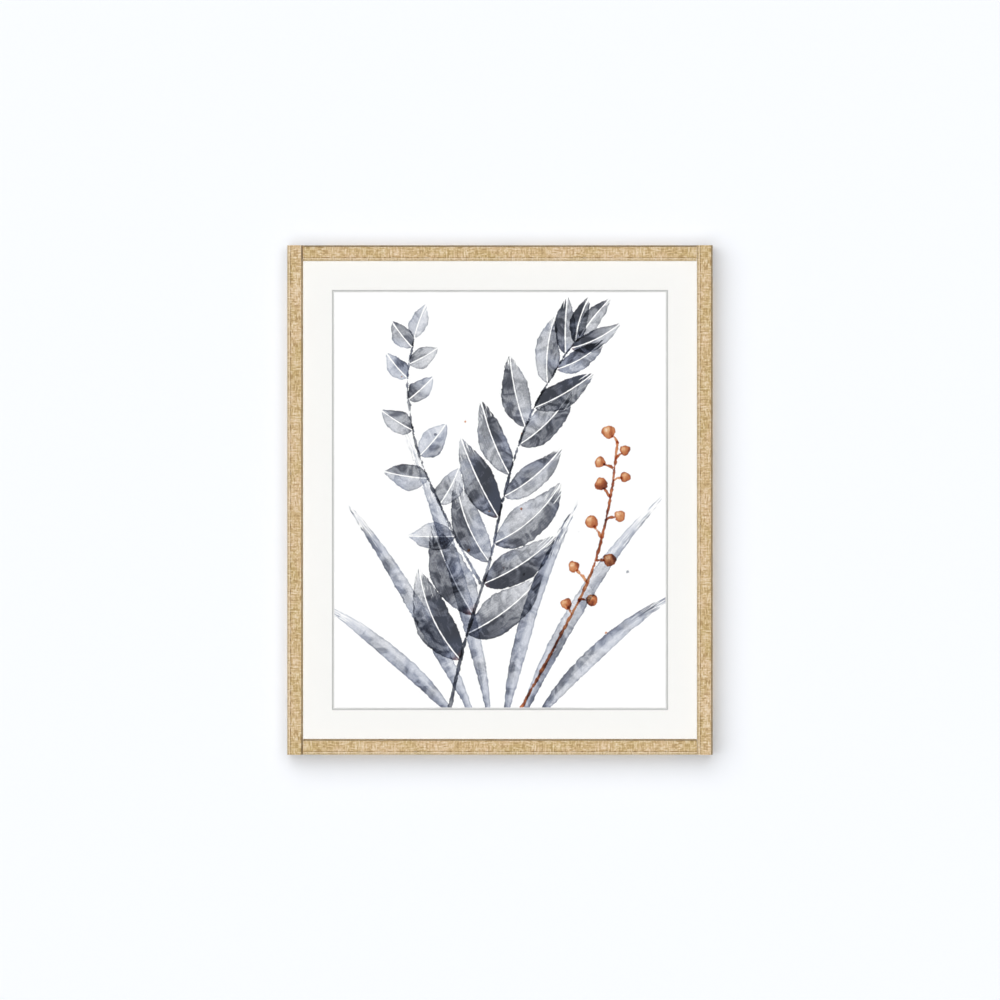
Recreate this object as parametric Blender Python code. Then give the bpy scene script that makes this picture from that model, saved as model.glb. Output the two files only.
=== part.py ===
"""A framed and matted art print that hangs on one nail.

Metres, +Z up. The picture faces -Y, the wall is the plane y = 0, and the origin is where the
wall nail carries the hanger. Four fabric-wrapped lengths of wooden moulding hold glass, a
window mat, the print and a backing board, kept in by steel points. The corners are butt
joints: the stiles run the full height and the rails fit between them.
"""

import math

import bmesh
import bpy
from mathutils import Matrix

INCH = 0.0254
MM = 0.001

# Driving dimensions of the picture, seen from the front
WINDOW_W = 16 * INCH  # opening cut in the mat, a standard print size
WINDOW_H = 20 * INCH
MAT_BORDER = 1.375 * INCH  # mat that shows on each side of the window
FACE_W = 0.75 * INCH  # face of the moulding
DEPTH = 1.0 * INCH  # moulding from front to back

GAP = 0.3 * MM  # clearance between pieces that touch
STAND_OFF = 4.0 * MM  # back of the moulding to the wall, set by the bumpers
NAIL_DROP = 10.5 * MM  # top of the frame down to the wall nail

# Moulding profile
EDGE_R = 0.9 * MM  # rounded edge beside the groove
GROOVE_AT = 3.9 * MM  # from that edge to the groove's centre
GROOVE_W = 1.3 * MM
GROOVE_D = 0.9 * MM
BEVEL_W = 2.1 * MM  # steep bevel along the other edge
BEVEL_D = 3.8 * MM
BEAD_W = 1.8 * MM  # low bead beside the bevel
BEAD_H = 0.4 * MM
BACK_R = 0.8 * MM
LIP_W = 0.25 * INCH  # rabbet: how far the lip reaches over the glass
LIP_T = 4.3 * MM
SHOULDER_W = FACE_W - LIP_W  # wood behind the lip, as wide as the back of the moulding

# The layers in the rabbet, front to back
EDGE_PLAY = 1.0 * MM  # room round the layers
GLASS_T = 2.0 * MM
MAT_T = 3.0 * MM
PRINT_T = 0.5 * MM
BACKING_T = 3.2 * MM

# Steel points that hold the layers in
POINT_T = 0.5 * MM
POINT_DRIVEN = 8.0 * MM  # length in the wood
POINTS_PER_STILE = 4
POINTS_PER_RAIL = 3

# Hardware on the back
PLATE_LEG = 45.0 * MM  # flat corner plates
PLATE_W = 10.5 * MM
PLATE_T = 1.2 * MM
PLATE_INSET = 1.1 * MM
SCREWS_AT = (22.0 * MM, 38.0 * MM)  # along each leg, from the frame's corner
SCREW_R = 1.3 * MM
SCREW_L = 12.0 * MM
SCREW_HEAD_R = 2.9 * MM
SCREW_HEAD_T = 1.3 * MM
HANGER_T = 0.9 * MM
HANGER_LIFT = 1.5 * MM  # the toothed middle stands off the wood by this much more
HANGER_HALF = 29.0 * MM
HANGER_TOP = 7.0 * MM  # above the nail
TOOTH_PITCH = 4.0 * MM
TOOTH_D = 1.5 * MM
TEETH = 7
HANGER_NAIL_X = 24.5 * MM
NAIL_R = 0.7 * MM
NAIL_L = 9.0 * MM
NAIL_HEAD_R = 2.1 * MM
NAIL_HEAD_T = 0.9 * MM
BUMPER_R = 5.0 * MM
BUMPER_UP = 60.0 * MM  # bottom of the frame up to a bumper

# Worked out from the above
SIGHT_W = WINDOW_W + 2 * MAT_BORDER
SIGHT_H = WINDOW_H + 2 * MAT_BORDER
OUTER_W = SIGHT_W + 2 * FACE_W
OUTER_H = SIGHT_H + 2 * FACE_W
LAYER_W = SIGHT_W + 2 * (LIP_W - EDGE_PLAY)
LAYER_H = SIGHT_H + 2 * (LIP_W - EDGE_PLAY)
RAIL_LENGTH = OUTER_W - 2 * SHOULDER_W - 2 * GAP
BACK_Y = -STAND_OFF
FRONT_Y = BACK_Y - DEPTH
TOP_Z = NAIL_DROP
BOTTOM_Z = TOP_Z - OUTER_H
MIDDLE_Z = (TOP_Z + BOTTOM_Z) / 2
GLASS_AT = LIP_T + GAP  # depth of each layer's front face behind the frame's front
MAT_AT = GLASS_AT + GLASS_T + GAP
PRINT_AT = MAT_AT + MAT_T + GAP
BACKING_AT = PRINT_AT + PRINT_T + GAP
POINT_AT = BACKING_AT + BACKING_T + GAP + POINT_T / 2  # middle of a point's thickness


# ---------------------------------------------------------------- helpers


def clear_scene():
    for thing in list(bpy.data.objects):
        bpy.data.objects.remove(thing)


def material(name, colour, roughness, metallic=0.0, transmission=0.0):
    made = bpy.data.materials.new(name)
    made.use_nodes = True
    shader = made.node_tree.nodes["Principled BSDF"]
    shader.inputs["Base Color"].default_value = (*colour, 1.0)
    shader.inputs["Roughness"].default_value = roughness
    shader.inputs["Metallic"].default_value = metallic
    shader.inputs["Transmission Weight"].default_value = transmission
    return made


def add_object(name, bm, finish=None, smooth=False):
    """The finished bmesh as an object. One with no finish is a cutter and stays hidden."""
    bmesh.ops.recalc_face_normals(bm, faces=bm.faces)
    mesh = bpy.data.meshes.new(name)
    bm.to_mesh(mesh)
    bm.free()
    if smooth:
        mesh.shade_smooth()
        mesh.set_sharp_from_angle(angle=math.radians(35))
    made = bpy.data.objects.new(name, mesh)
    bpy.context.scene.collection.objects.link(made)
    if finish:
        mesh.materials.append(finish)
    else:
        made.hide_render = True
        made.display_type = "WIRE"
    return made


def add_box(bm, low, high):
    size = [b - a for a, b in zip(low, high)]
    middle = [(a + b) / 2 for a, b in zip(low, high)]
    place = Matrix.Translation(middle) @ Matrix.Diagonal((*size, 1.0))
    bmesh.ops.create_cube(bm, size=1.0, matrix=place)


def add_drill(bm, x, z, radius, y_from, y_to, steps=12):
    """A round cutter along Y."""
    place = Matrix.Translation((x, (y_from + y_to) / 2, z)) @ Matrix.Rotation(math.pi / 2, 4, "X")
    bmesh.ops.create_cone(
        bm,
        cap_ends=True,
        segments=steps,
        radius1=radius,
        radius2=radius,
        depth=y_to - y_from,
        matrix=place,
    )


def add_loft(bm, sections):
    """A closed bar through like-sized rings of points."""
    rings = [[bm.verts.new(point) for point in ring] for ring in sections]
    for ring, following in zip(rings, rings[1:]):
        for i in range(len(ring)):
            j = (i + 1) % len(ring)
            bm.faces.new((ring[i], ring[j], following[j], following[i]))
    bm.faces.new(rings[0])
    bm.faces.new(rings[-1])


def add_turned(bm, profile, steps):
    """A solid of revolution about Z from (radius, height) points that start and end on the axis."""
    verts = [bm.verts.new((radius, 0, height)) for radius, height in profile]
    edges = [bm.edges.new(pair) for pair in zip(verts, verts[1:])]
    bmesh.ops.spin(
        bm,
        geom=verts + edges,
        axis=(0, 0, 1),
        cent=(0, 0, 0),
        angle=math.tau,
        steps=steps,
        use_merge=True,
    )
    bmesh.ops.remove_doubles(bm, verts=bm.verts, dist=0.001 * MM)


def cut(target, cutter):
    boolean = target.modifiers.new(cutter.name, "BOOLEAN")
    boolean.operation = "DIFFERENCE"
    boolean.object = cutter


def half_round(centre, half_width, height, steps=6):
    """Points of a half ellipse across the face; a positive height dips into the wood."""
    turns = [math.pi * i / steps for i in range(steps + 1)]
    return [(centre - half_width * math.cos(t), height * math.sin(t)) for t in turns]


# ---------------------------------------------------------------- moulding


def face_outline():
    """The moulding's front from its grooved edge to its bevelled edge, as (across, depth)."""
    turns = [math.pi / 2 * i / 4 for i in range(5)]
    edge = [(EDGE_R - EDGE_R * math.cos(t), EDGE_R - EDGE_R * math.sin(t)) for t in turns]
    groove = half_round(GROOVE_AT, GROOVE_W / 2, GROOVE_D)
    bead = half_round(FACE_W - BEVEL_W - BEAD_W / 2, BEAD_W / 2, -BEAD_H)
    return edge + groove + bead + [(FACE_W, BEVEL_D)]


def profile(bevel_inside):
    """Cross-section as (distance in from the outer side, depth), round from the outer side."""
    front = face_outline()
    if not bevel_inside:
        front = [(FACE_W - across, depth) for across, depth in reversed(front)]
    rabbet = [(FACE_W, LIP_T), (SHOULDER_W, LIP_T), (SHOULDER_W, DEPTH)]
    back = [(BACK_R, DEPTH), (0, DEPTH - BACK_R)]
    return front + rabbet + back


def spaced(count, length):
    """Places of evenly spaced points along a length, measured from its middle."""
    pitch = length / count
    return [pitch * (i - (count - 1) / 2) for i in range(count)]


def mirrored(values):
    return [side * value for side in (-1, 1) for value in values]


def moulding(name, length, bevel_inside, turn, place, point_places, drills, shouldered, finish):
    """One length: X runs in from its outer side, Y back from its front, Z along it.

    point_places are the slots for the steel points, drills the (across, along, radius, depth)
    of holes from the back, and a shouldered length is cut back where it meets a stile's lip.
    """
    bm = bmesh.new()
    outline = profile(bevel_inside)
    ends = (-length / 2, length / 2)
    add_loft(bm, [[(across, depth, end) for across, depth in outline] for end in ends])
    made = add_object(name, bm, finish)

    tools = bmesh.new()
    for along in point_places:
        half_t = POINT_T / 2 + GAP
        add_box(
            tools,
            (SHOULDER_W - POINT_DRIVEN - GAP, POINT_AT - half_t, along - point_width(0) - GAP),
            (SHOULDER_W + MM, POINT_AT + half_t, along + point_width(0) + GAP),
        )
    for across, along, radius, depth in drills:
        add_drill(tools, across, along, radius + GAP, DEPTH - depth - GAP, DEPTH + MM)
    if shouldered:
        for end in (-1, 1):
            near, far = end * (SIGHT_W / 2 - GAP), end * (length / 2 + MM)
            add_box(
                tools,
                (-MM, -MM, min(near, far)),
                (FACE_W + MM, LIP_T + GAP, max(near, far)),
            )
    cutter = add_object(name + "_cuts", tools)
    cut(made, cutter)

    for thing in (made, cutter):
        thing.location = place
        thing.rotation_euler = (0, turn, 0)
    return made


def point_width(driven):
    """Half width of a steel point, which narrows to its tip inside the wood (driven 0 to 1)."""
    return (7.0 - 5.5 * driven) * MM


def stiles(finish):
    drills = [
        (PLATE_INSET + PLATE_W / 2, along, SCREW_R, SCREW_L)
        for along in mirrored([OUTER_H / 2 - at for at in SCREWS_AT])
    ]
    places = spaced(POINTS_PER_STILE, LAYER_H)
    for name, side, bevel_inside in (("stile_left", -1, True), ("stile_right", 1, False)):
        moulding(
            name,
            OUTER_H,
            bevel_inside,
            turn=0 if side < 0 else math.pi,
            place=(side * OUTER_W / 2, FRONT_Y, MIDDLE_Z),
            point_places=places,
            drills=drills,
            shouldered=False,
            finish=finish,
        )


def rails(finish):
    screws = [
        (PLATE_INSET + PLATE_W / 2, along, SCREW_R, SCREW_L)
        for along in mirrored([OUTER_W / 2 - at for at in SCREWS_AT])
    ]
    nails = [
        (TOP_Z - HANGER_TOP / 2, along, NAIL_R, NAIL_L) for along in mirrored([HANGER_NAIL_X])
    ]
    places = spaced(POINTS_PER_RAIL, LAYER_W)
    for name, side, bevel_inside, drills in (
        ("rail_top", 1, False, screws + nails),
        ("rail_bottom", -1, True, screws),
    ):
        moulding(
            name,
            RAIL_LENGTH,
            bevel_inside,
            turn=side * math.pi / 2,
            place=(0, FRONT_Y, TOP_Z if side > 0 else BOTTOM_Z),
            point_places=places,
            drills=drills,
            shouldered=True,
            finish=finish,
        )


# ---------------------------------------------------------------- layers in the rabbet


def layer(name, front, thickness, finish):
    """A full-size sheet whose front lies this deep behind the front of the frame."""
    bm = bmesh.new()
    y = FRONT_Y + front
    add_box(
        bm,
        (-LAYER_W / 2, y, MIDDLE_Z - LAYER_H / 2),
        (LAYER_W / 2, y + thickness, MIDDLE_Z + LAYER_H / 2),
    )
    return add_object(name, bm, finish)


def rectangle(width, height, y):
    corners = ((-1, -1), (1, -1), (1, 1), (-1, 1))
    return [(i * width / 2, y, MIDDLE_Z + k * height / 2) for i, k in corners]


def mat_board(finish):
    """The window mat. Its opening is cut at 45 degrees, so it is smaller at the back."""
    front, back = FRONT_Y + MAT_AT, FRONT_Y + MAT_AT + MAT_T
    loops = (
        rectangle(LAYER_W, LAYER_H, front),
        rectangle(WINDOW_W, WINDOW_H, front),
        rectangle(WINDOW_W - 2 * MAT_T, WINDOW_H - 2 * MAT_T, back),
        rectangle(LAYER_W, LAYER_H, back),
    )
    bm = bmesh.new()
    rings = [[bm.verts.new(point) for point in loop] for loop in loops]
    for ring, following in zip(rings, rings[1:] + rings[:1]):
        for i in range(4):
            j = (i + 1) % 4
            bm.faces.new((ring[i], ring[j], following[j], following[i]))
    add_object("mat_board", bm, finish)


# ---------------------------------------------------------------- steel points


def steel_point(name, x, z, turn, finish):
    """A flat point driven into the rabbet's wall, its tongue over the backing board.

    Its own X runs from the wood towards the middle of the picture.
    """
    tongue = 15.0 * MM
    bend_at = 11.0 * MM
    lifted = 1.2 * MM  # the free end is bent up, to lift it by
    stations = (
        (-POINT_DRIVEN, point_width(1), 0),
        (-POINT_DRIVEN / 2, point_width(0.4), 0),
        (0, point_width(0), 0),
        (bend_at, point_width(0), 0),
        (tongue, point_width(0.2), lifted),
    )
    bm = bmesh.new()
    add_loft(
        bm,
        [
            [
                (along, lift + thick * POINT_T / 2, side * half)
                for thick, side in ((-1, -1), (-1, 1), (1, 1), (1, -1))
            ]
            for along, half, lift in stations
        ],
    )
    made = add_object(name, bm, finish)
    made.location = (x, FRONT_Y + POINT_AT, z)
    made.rotation_euler = (0, turn, 0)


def steel_points(finish):
    wall_x = OUTER_W / 2 - SHOULDER_W
    wall_z = OUTER_H / 2 - SHOULDER_W
    for number, along in enumerate(spaced(POINTS_PER_STILE, LAYER_H), 1):
        steel_point(f"point_left_{number}", -wall_x, MIDDLE_Z + along, 0, finish)
        steel_point(f"point_right_{number}", wall_x, MIDDLE_Z + along, math.pi, finish)
    for number, along in enumerate(spaced(POINTS_PER_RAIL, LAYER_W), 1):
        steel_point(f"point_top_{number}", along, MIDDLE_Z + wall_z, math.pi / 2, finish)
        steel_point(f"point_bottom_{number}", along, MIDDLE_Z - wall_z, -math.pi / 2, finish)


# ---------------------------------------------------------------- back of the frame


def fastener(name, x, y, z, head_r, head_t, shank_r, shank_l, finish):
    """A screw or nail with a domed head: y is the underside of its head, facing the wood."""
    shape = (
        (0, -shank_l),
        (shank_r, -shank_l + 2.5 * shank_r),
        (shank_r, 0),
        (head_r, 0),
        (head_r, 0.35 * head_t),
        (0.7 * head_r, 0.85 * head_t),
        (0, head_t),
    )
    bm = bmesh.new()
    add_turned(bm, shape, steps=12)
    made = add_object(name, bm, finish, smooth=True)
    made.location = (x, y, z)
    made.rotation_euler = (-math.pi / 2, 0, 0)


def corner_plate(name, side_x, side_z, finish, screw_finish):
    """A flat L of steel across one butt joint, with two screws in each leg."""
    corner_x = side_x * OUTER_W / 2
    corner_z = TOP_Z if side_z > 0 else BOTTOM_Z

    def from_corner(in_x, in_z):
        return corner_x - side_x * in_x, corner_z - side_z * in_z

    near, far = PLATE_INSET, PLATE_INSET + PLATE_LEG
    inner = PLATE_INSET + PLATE_W
    chamfer = PLATE_W / 4
    outline = [
        (near + chamfer, near),
        (far - chamfer, near),
        (far, near + chamfer),
        (far, inner - chamfer),
        (far - chamfer, inner),
        (inner, inner),
        (inner, far - chamfer),
        (inner - chamfer, far),
        (near + chamfer, far),
        (near, far - chamfer),
        (near, near + chamfer),
    ]
    low = BACK_Y + GAP
    bm = bmesh.new()
    flat = [from_corner(*point) for point in outline]
    add_loft(bm, [[(x, y, z) for x, z in flat] for y in (low, low + PLATE_T)])
    plate = add_object("corner_plate_" + name, bm, finish)

    middle = PLATE_INSET + PLATE_W / 2
    holes = [from_corner(at, middle) for at in SCREWS_AT]
    holes += [from_corner(middle, at) for at in SCREWS_AT]
    drills = bmesh.new()
    for number, (x, z) in enumerate(holes, 1):
        add_drill(drills, x, z, SCREW_R + GAP, low - MM, low + PLATE_T + MM)
        fastener(
            f"screw_{name}_{number}",
            x,
            low + PLATE_T + GAP,
            z,
            SCREW_HEAD_R,
            SCREW_HEAD_T,
            SCREW_R,
            SCREW_L + PLATE_T,
            screw_finish,
        )
    cut(plate, add_object(f"corner_plate_{name}_holes", drills))


def corner_plates(finish, screw_finish):
    for upright, side_z in (("top", 1), ("bottom", -1)):
        for across, side_x in (("left", -1), ("right", 1)):
            corner_plate(f"{upright}_{across}", side_x, side_z, finish, screw_finish)


def sawtooth_hanger(finish, nail_finish):
    """A strip nailed at both ends, its raised middle toothed along the lower edge."""
    bridge_half = 17.0 * MM
    ramp = 2.0 * MM
    low = BACK_Y + GAP
    teeth_from = -TEETH * TOOTH_PITCH / 2
    teeth = [
        (teeth_from + i * TOOTH_PITCH / 2, 0 if i % 2 else -TOOTH_D)
        for i in range(2 * TEETH + 1)
    ]
    ends = [(HANGER_HALF, 0), (bridge_half + ramp, 0), (bridge_half, -TOOTH_D)]
    stations = [(-x, z) for x, z in ends] + teeth + ends[::-1]

    sections = []
    for x, lower in stations:
        y = low + (HANGER_LIFT if abs(x) <= bridge_half else 0)
        sections.append(
            [
                (x, y, lower),
                (x, y + HANGER_T, lower),
                (x, y + HANGER_T, HANGER_TOP),
                (x, y, HANGER_TOP),
            ]
        )
    bm = bmesh.new()
    add_loft(bm, sections)
    hanger = add_object("sawtooth_hanger", bm, finish)

    drills = bmesh.new()
    for side, x in (("left", -HANGER_NAIL_X), ("right", HANGER_NAIL_X)):
        add_drill(drills, x, HANGER_TOP / 2, NAIL_R + GAP, low - MM, low + HANGER_T + MM)
        fastener(
            "hanger_nail_" + side,
            x,
            low + HANGER_T + GAP,
            HANGER_TOP / 2,
            NAIL_HEAD_R,
            NAIL_HEAD_T,
            NAIL_R,
            NAIL_L + HANGER_T,
            nail_finish,
        )
    cut(hanger, add_object("sawtooth_hanger_holes", drills))


def bumpers(finish):
    """Two soft discs near the bottom corners, which keep the frame off the wall."""
    height = STAND_OFF - GAP
    edge = 0.8 * MM
    shape = (
        (0, 0),
        (BUMPER_R, 0),
        (BUMPER_R, height - edge),
        (BUMPER_R - edge, height),
        (0, height),
    )
    for name, side in (("bumper_left", -1), ("bumper_right", 1)):
        bm = bmesh.new()
        add_turned(bm, shape, steps=20)
        made = add_object(name, bm, finish, smooth=True)
        made.location = (
            side * (OUTER_W / 2 - SHOULDER_W / 2),
            BACK_Y + GAP,
            BOTTOM_Z + BUMPER_UP,
        )
        made.rotation_euler = (-math.pi / 2, 0, 0)


# ---------------------------------------------------------------- build

clear_scene()
linen = material("linen_wrap", (0.64, 0.49, 0.29), 0.9)
glass = material("glass", (0.95, 0.97, 0.96), 0.02, transmission=1.0)
board = material("mat_board", (0.95, 0.94, 0.90), 0.9)
paper = material("art_paper", (0.97, 0.97, 0.97), 0.9)
hardboard = material("hardboard", (0.30, 0.17, 0.08), 0.7)
zinc = material("zinc_plate", (0.62, 0.62, 0.60), 0.4, metallic=1.0)
brass = material("brass_plate", (0.70, 0.52, 0.22), 0.35, metallic=1.0)
felt = material("felt", (0.20, 0.19, 0.18), 0.95)

stiles(linen)
rails(linen)
layer("glazing", GLASS_AT, GLASS_T, glass)
mat_board(board)
layer("print_sheet", PRINT_AT, PRINT_T, paper)
layer("backing_board", BACKING_AT, BACKING_T, hardboard)
steel_points(zinc)
corner_plates(zinc, zinc)
sawtooth_hanger(brass, brass)
bumpers(felt)
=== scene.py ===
"""The looks of a framed and matted art print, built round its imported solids.

Metres, +Z up. The picture faces -Y, the wall is the plane y = 0, and the origin is where the
wall nail carries the hanger. The sections follow the frame as it is put together.
"""

import functools
import math

import bmesh
import bpy
import numpy as np
from mathutils import Matrix, Vector


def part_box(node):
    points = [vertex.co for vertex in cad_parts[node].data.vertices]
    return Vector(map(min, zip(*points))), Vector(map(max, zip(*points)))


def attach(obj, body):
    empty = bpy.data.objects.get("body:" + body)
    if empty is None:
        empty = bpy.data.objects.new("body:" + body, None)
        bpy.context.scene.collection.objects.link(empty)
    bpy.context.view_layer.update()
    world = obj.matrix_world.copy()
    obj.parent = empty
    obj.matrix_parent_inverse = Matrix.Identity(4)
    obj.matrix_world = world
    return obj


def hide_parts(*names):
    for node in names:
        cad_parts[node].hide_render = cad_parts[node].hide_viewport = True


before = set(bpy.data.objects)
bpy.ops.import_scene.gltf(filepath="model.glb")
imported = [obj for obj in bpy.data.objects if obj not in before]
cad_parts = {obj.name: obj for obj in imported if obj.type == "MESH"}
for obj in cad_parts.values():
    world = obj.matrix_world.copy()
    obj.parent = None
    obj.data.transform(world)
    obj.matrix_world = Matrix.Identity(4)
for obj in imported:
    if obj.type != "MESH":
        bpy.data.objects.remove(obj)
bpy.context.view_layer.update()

# ---------------------------------------------------------------- linen-wrapped moulding
# Four lengths of pine moulding, wrapped in coarse natural linen that is glued down, pressed
# into the groove and turned over the outer back edge. The stiles run the full height and the
# rails butt against them, their back parts reaching in behind the stiles' lips.

MM = 0.001
GAP = 0.3 * MM
TOUCHING = 0.01 * MM  # points this close to each other are one

EDGE_R = 0.9 * MM  # rounded edge beside the groove
GROOVE_AT = 3.9 * MM
GROOVE_W = 1.3 * MM
GROOVE_D = 0.9 * MM
BEVEL_W = 2.1 * MM  # steep bevel along the other edge
BEVEL_D = 3.8 * MM
BEAD_W = 1.8 * MM
BEAD_H = 0.4 * MM
LIP_T = 4.3 * MM
CLOTH_T = 0.4 * MM  # the cloth stands this far off the bare wood
CLOTH_R = 0.6 * MM  # how tightly it goes round a corner
TURNED_OVER = 5.0 * MM  # cloth glued down on the back
TURNED_UNDER = 2.5 * MM  # and under the lip
THREAD = 2.0 * MM  # spacing; real threads are nearer 1 mm, drawn coarser so that they show
RELIEF = 0.1 * MM
TENON_STEPS = 4  # rows of faces along the part behind a stile's lip

STILE_LEFT, STILE_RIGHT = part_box("stile_left"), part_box("stile_right")
RAIL_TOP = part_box("rail_top")
OUTER_LEFT, SIGHT_LEFT = STILE_LEFT[0].x, STILE_LEFT[1].x
OUTER_RIGHT, SIGHT_RIGHT = STILE_RIGHT[1].x, STILE_RIGHT[0].x
TOP_Z, BOTTOM_Z = STILE_LEFT[1].z, STILE_LEFT[0].z
MIDDLE_Z = (TOP_Z + BOTTOM_Z) / 2
BACK_Y = STILE_LEFT[1].y
FRONT_Y = STILE_LEFT[0].y + BEAD_H
DEPTH = BACK_Y - FRONT_Y
FACE_W = SIGHT_LEFT - OUTER_LEFT
RAIL_LENGTH = RAIL_TOP[1].x - RAIL_TOP[0].x
SHOULDER_W = RAIL_TOP[0].x - GAP - OUTER_LEFT


def half_round(centre, half_width, height, steps=8):
    """Points of a half ellipse across the face; a positive height dips into the wood."""
    turns = [math.pi * i / steps for i in range(steps + 1)]
    return [(centre - half_width * math.cos(t), height * math.sin(t)) for t in turns]


def eased(before, corner, after, radius, steps=4):
    """The corner between two straight runs, rounded off by a parabola."""
    before, corner, after = Vector(before), Vector(corner), Vector(after)
    start = corner + (before - corner).normalized() * radius
    end = corner + (after - corner).normalized() * radius
    shares = [i / steps for i in range(steps + 1)]
    return [start.lerp(corner, s).lerp(corner.lerp(end, s), s)[:] for s in shares]


def cloth_outline(bevel_inside):
    """The cloth round the moulding as (across, depth), from its cut edge on the back to the
    one under the lip, a point every quarter thread, and each point's distance from the
    grooved edge. Across is measured from the outer side.
    """
    front = eased((0, EDGE_R * 4), (0, 0), (EDGE_R * 4, 0), EDGE_R * 1.4)
    front += half_round(GROOVE_AT, GROOVE_W / 2, GROOVE_D)
    front += half_round(FACE_W - BEVEL_W - BEAD_W / 2, BEAD_W / 2, -BEAD_H)[:-1]
    foot = (FACE_W, BEVEL_D)
    front += eased(front[-1], (FACE_W - BEVEL_W, 0), foot, CLOTH_R)
    if not bevel_inside:
        front = [(FACE_W - across, depth) for across, depth in reversed(front)]
    outer_foot = (0, EDGE_R * 4) if bevel_inside else (0, BEVEL_D)
    inner_foot = foot if bevel_inside else (FACE_W, EDGE_R * 4)
    start, end = (TURNED_OVER, DEPTH), (FACE_W - TURNED_UNDER, LIP_T)
    path = [start] + eased(start, (0, DEPTH), outer_foot, CLOTH_R * 1.5) + [outer_foot]
    path += front + [inner_foot]
    path += eased(inner_foot, (FACE_W, LIP_T), end, CLOTH_R / 2) + [end]
    path = np.array(path)

    reach = np.concatenate([[0], np.cumsum(np.linalg.norm(np.diff(path, axis=0), axis=1))])
    grooved_edge = 0 if bevel_inside else FACE_W
    corner = np.argmin(np.abs(path - (grooved_edge, 0)).sum(axis=1))
    step = THREAD / 4
    first = -math.floor(reach[corner] / step)
    last = math.floor((reach[-1] - reach[corner]) / step)
    marks = np.arange(first, last + 1) * step
    points = [np.interp(marks + reach[corner], reach, side) for side in path.T]
    return np.column_stack(points), marks if bevel_inside else -marks


def weave_height(across_threads, along_threads):
    """Relief of a plain weave, 0 between the threads to 1 on top of them."""
    warp_on_top = (np.floor(across_threads) + np.floor(along_threads)) % 2 == 1
    off = [np.abs(place % 1 - 0.5) for place in (across_threads, along_threads)]
    beside = np.where(warp_on_top, off[0], off[1])
    along = np.where(warp_on_top, off[1], off[0])
    return np.sqrt(np.clip(1 - 4 * beside**2, 0, 1)) * (0.4 + 0.6 * np.cos(math.pi * along))


def soften(bm, geometry, offset, segments=2, affect="EDGES"):
    """Takes these edges or corners off with a small round bevel."""
    bmesh.ops.bevel(
        bm,
        geom=geometry,
        offset=offset,
        segments=segments,
        profile=0.5,
        affect=affect,
        material=-1,
        clamp_overlap=True,
    )


def only(kind, items):
    """Those of the items that are verts, edges or faces, as kind says."""
    return [item for item in items if isinstance(item, kind)]


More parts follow.
